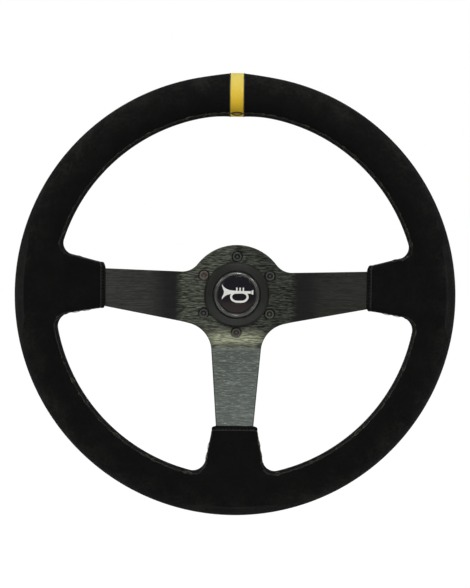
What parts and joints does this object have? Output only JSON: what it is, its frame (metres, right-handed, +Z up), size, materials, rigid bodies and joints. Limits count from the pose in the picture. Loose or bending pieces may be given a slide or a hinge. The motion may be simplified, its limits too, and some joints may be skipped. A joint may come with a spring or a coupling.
{
  "type": "quick release steering wheel",
  "caption": "Deep-dish three-spoke steering wheel wrapped in suede, with a horn button, on a splined ball-lock quick release that mounts to a column boss.",
  "frame": {"origin": "centre of the column hub's rear face, on the steering axis", "axes": "+Y along the steering axis away from the driver, +X to the driver's right, +Z up"},
  "size_m": [0.35, 0.1464, 0.3511],
  "materials": {
    "suede": "matt napped suede",
    "marker": "matt dyed suede strip",
    "foam": "moulded foam",
    "brushed_plate": "brushed, black anodised",
    "armature": "as drawn",
    "anodised": "satin black anodised",
    "black_steel": "black oxide",
    "bright_steel": "polished steel",
    "brass": "plain brass",
    "horn_plastic": "matt black",
    "horn_satin": "satin dark grey",
    "horn_gloss": "gloss black",
    "horn_print": "printed with a plain horn sign",
    "horn_lens": "clear dome"
  },
  "bodies": {
    "column": {"column_hub": "anodised"},
    "wheel": {"coupler_body": "anodised", "collar_spring": "bright_steel", "collar_circlip": "black_steel", "spoke_plate": "brushed_plate", "rim_armature": "armature", "grip_foam": "foam", "suede_left": "suede", "suede_right": "suede", "suede_bottom": "suede", "centre_marker": "marker", "horn_trim_ring": "horn_satin", "horn_contact_ring": "brass", "horn_base": "horn_plastic", "horn_terminal_1": "brass", "horn_terminal_2": "brass", "horn_spring": "bright_steel", "wheel_screw_1": "black_steel", "wheel_screw_2": "black_steel", "wheel_screw_3": "black_steel", "wheel_screw_4": "black_steel", "wheel_screw_5": "black_steel", "wheel_screw_6": "black_steel", "spoke_rivet_right_1": "bright_steel", "spoke_rivet_right_2": "bright_steel", "spoke_rivet_left_1": "bright_steel", "spoke_rivet_left_2": "bright_steel", "spoke_rivet_bottom_1": "bright_steel", "spoke_rivet_bottom_2": "bright_steel"},
    "collar": {"release_collar": "anodised"},
    "horn_button": {"horn_button_cap": "horn_gloss", "horn_emblem_disc": "horn_print", "horn_lens": "horn_lens", "horn_contact_plate": "brass"},
    "lock_ball_1": {"lock_ball_1": "bright_steel"},
    "lock_ball_2": {"lock_ball_2": "bright_steel"},
    "lock_ball_3": {"lock_ball_3": "bright_steel"},
    "lock_ball_4": {"lock_ball_4": "bright_steel"},
    "lock_ball_5": {"lock_ball_5": "bright_steel"},
    "lock_ball_6": {"lock_ball_6": "bright_steel"}
  },
  "joints": [
    {"name": "wheel_release", "type": "slide", "parent": "column", "child": "wheel", "axis": [0, -1, 0], "range_m": [0, 0.045]},
    {"name": "collar_slide", "type": "slide", "parent": "wheel", "child": "collar", "axis": [0, 1, 0], "range_m": [0, 0.007], "stiffness_N_per_m": 1500, "springref_m": 0.012, "deforming": ["collar_spring"]},
    {"name": "horn_press", "type": "slide", "parent": "wheel", "child": "horn_button", "axis": [0, 1, 0], "range_m": [0, 0.0025], "stiffness_N_per_m": 2000, "springref_m": -0.001, "deforming": ["horn_spring"]},
    {"name": "lock_ball_1_slide", "type": "slide", "parent": "wheel", "child": "lock_ball_1", "axis": [-1, 0, 0], "range_m": [0, 0.00162]},
    {"name": "lock_ball_2_slide", "type": "slide", "parent": "wheel", "child": "lock_ball_2", "axis": [-0.5, 0, -0.866], "range_m": [0, 0.00162]},
    {"name": "lock_ball_3_slide", "type": "slide", "parent": "wheel", "child": "lock_ball_3", "axis": [0.5, 0, -0.866], "range_m": [0, 0.00162]},
    {"name": "lock_ball_4_slide", "type": "slide", "parent": "wheel", "child": "lock_ball_4", "axis": [1, 0, 0], "range_m": [0, 0.00162]},
    {"name": "lock_ball_5_slide", "type": "slide", "parent": "wheel", "child": "lock_ball_5", "axis": [0.5, 0, 0.866], "range_m": [0, 0.00162]},
    {"name": "lock_ball_6_slide", "type": "slide", "parent": "wheel", "child": "lock_ball_6", "axis": [-0.5, 0, 0.866], "range_m": [0, 0.00162]}
  ],
  "couplings": [
    {"joint": "lock_ball_1_slide", "follows": "collar_slide", "ratio": 0.22857},
    {"joint": "lock_ball_2_slide", "follows": "collar_slide", "ratio": 0.22857},
    {"joint": "lock_ball_3_slide", "follows": "collar_slide", "ratio": 0.22857},
    {"joint": "lock_ball_4_slide", "follows": "collar_slide", "ratio": 0.22857},
    {"joint": "lock_ball_5_slide", "follows": "collar_slide", "ratio": 0.22857},
    {"joint": "lock_ball_6_slide", "follows": "collar_slide", "ratio": 0.22857}
  ]
}
